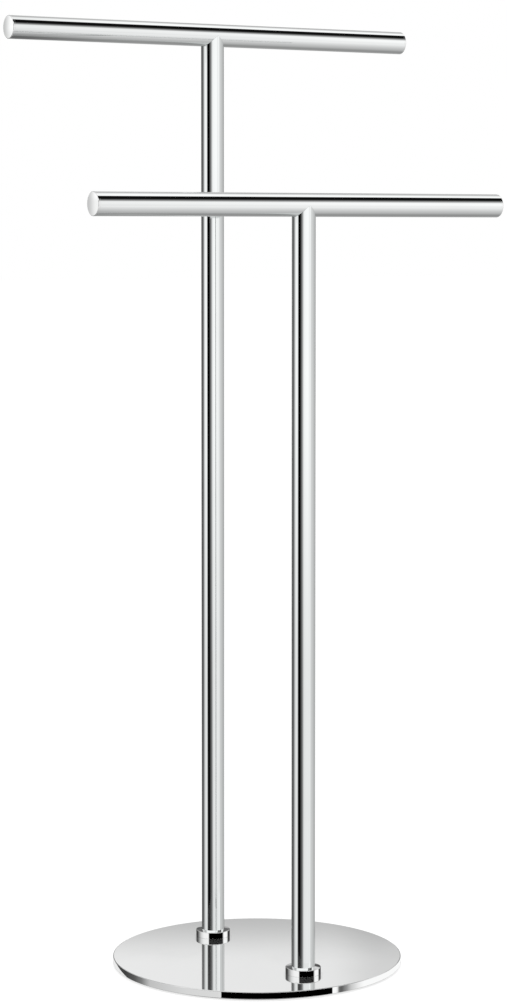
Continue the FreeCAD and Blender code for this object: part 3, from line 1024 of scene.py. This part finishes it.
def bent_card(name, centre, radius, low, high, levels, black=None, white_below=None):
    """A card around a chrome cylinder. levels are (angle, level): what the metal mirrors where
    its surface turns by that angle from the camera, from -90 to 90. black gives two angles
    between which the card is black with sharp ends. white_below gives the two angles between
    which the card's dark left end runs out in a slant, from its lower edge to its upper one."""
    card_radius = radius + CARD_GAP

    def on_card(angle):
        """Where on the card the metal's surface at this angle looks."""
        turn = math.radians(angle)
        return math.degrees(2 * turn - math.asin(radius * math.sin(turn) / card_radius))

    points = []
    for step in range(CARD_STEPS + 1):
        turn = math.radians(CARD_HALF_ANGLE * (2 * step / CARD_STEPS - 1))
        towards = math.cos(turn) * Vector(TO_CAMERA) + math.sin(turn) * Vector(TO_CAMERA_RIGHT)
        points.append(card_radius * towards + Vector((0, 0, low)))
        points.append(card_radius * towards + Vector((0, 0, high)))
    faces = [(2 * step + 1, 2 * step + 3, 2 * step + 2, 2 * step) for step in range(CARD_STEPS)]
    paper = new_card(name, points, faces, centre)
    place = paper.add("ShaderNodeTexCoord").other("Object")
    angle = paper.angle(place, TO_CAMERA, TO_CAMERA_RIGHT)
    stops = [(on_card(degrees), level) for degrees, level in levels]
    level = paper.levels_by_angle(angle, stops, reach=on_card(90))
    if black is not None:
        start, end = (on_card(degrees) for degrees in black)
        level = level * (1 - paper.band(angle, start, start + BLACK_EDGE, end - BLACK_EDGE, end))
    if white_below is not None:
        start, end = (on_card(degrees) for degrees in white_below)
        share = (angle - end) / (start - end)
        slant = share * (low - high) + high
        height = paper.along(place, UPWARDS)
        left = 1 - paper.rise(angle, start, start + SLANT_END_EDGE)
        bare = (slant - height).math("GREATER_THAN", 0.0) * left
        level = level * (1 - bare) + WHITE_CARD_GLOW * bare
    # The card's glow is a painted reflection: it sets what the rim or the collar mirrors at each
    # angle.
    glow_inside(paper, level)


bent_card(
    "plate_card", Vector((0, 0, 0)), plate_radius, PLATE_CARD_LOW,
    plate_high.z - PLATE_CARD_BELOW_TOP,
    levels=(
        (-90, 0.80), (-78, 0.10), (-64, 0.05), (-56, 0.10), (-51, 0.22), (-46, 0.55),
        (-28, 0.70), (-15, 0.72), (-13, 0.80), (30, 1.0), (32.2, 1.0), (33.2, 0.12),
        (34.7, 0.125), (35.8, 0.235), (36.8, 0.30), (37.8, 0.45), (39.3, 0.63), (40.8, 0.72),
        (42.4, 0.84), (44.1, 0.93), (45.8, 1.0), (90, 1.0),
    ),
    black=(-13.9, 30.3), white_below=(-58, -78),
)
for end in ENDS:
    low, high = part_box(f"{end}_collar")
    centre = (low + high) / 2
    bent_card(
        f"{end}_collar_card", Vector((0, centre.y, 0)), high.x, low.z,
        high.z - COLLAR_CROWN - COLLAR_CARD_BELOW_RIM,
        levels=(
            (-90, 0.16), (-76, 0.08), (-66, 0.04), (-62, 0.08), (-58, 0.19), (-52, 0.35),
            (-47, 0.54), (-43, 0.68), (-35, 0.85), (-30, 0.92), (-14.9, 0.94), (-12.9, 0.0),
            (35, 0.0), (40, 0.95), (44, 1.0), (55, 1.0), (59, 0.5), (63, 0.03), (78, 0.05),
            (90, 0.1),
        ),
    )

# A flat card stands where each left cap's face mirrors it to the camera. It glows, and its
# gradient is a painted reflection for the cap's face: it brightens across its width and, where it
# is bright, upwards too, between two heights above eye level. The cap's crown spreads each degree
# of those heights over CARD_DEGREE of the card.
CAP_CARD_DISTANCE = 40.0 * MM
CAP_CARD_HALF = 15.0 * MM
CARD_DEGREE = 2.67 * MM
CAP_CARD_ACROSS = (-5.7 * MM, 7.4 * MM)
CAP_CARD_HEIGHTS = (1.0, 4.0)
CAP_CARD_LEVEL = 0.56
CAP_CARD_ACROSS_GAIN = 0.36
CAP_CARD_UPPER_GAIN = 0.14

for end in ENDS:
    low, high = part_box(f"{end}_rail_cap_left")
    face = Vector((low.x, (low.y + high.y) / 2, (low.z + high.z) / 2))
    mirrored_along = (face - CAMERA_PLACE).normalized()
    mirrored_along.x = -mirrored_along.x
    across = mirrored_along.cross(UPWARDS).normalized()
    above = across.cross(mirrored_along)
    tilt = math.degrees(math.asin(mirrored_along.z))
    corners = [CAP_CARD_HALF * (x * across + y * above) for x, y in SQUARE]
    centre = face + CAP_CARD_DISTANCE * mirrored_along
    paper = new_card(f"{end}_cap_card", corners, [(0, 1, 2, 3)], centre)
    place = paper.add("ShaderNodeTexCoord").other("Object")
    bright_side = 1 - paper.rise(paper.along(place, across), *CAP_CARD_ACROSS)
    start, stop = ((height - tilt) * CARD_DEGREE for height in CAP_CARD_HEIGHTS)
    upper = paper.rise(paper.along(place, above), start, stop)
    gain = CAP_CARD_ACROSS_GAIN + CAP_CARD_UPPER_GAIN * upper
    glow_inside(paper, CAP_CARD_LEVEL + gain * bright_side)
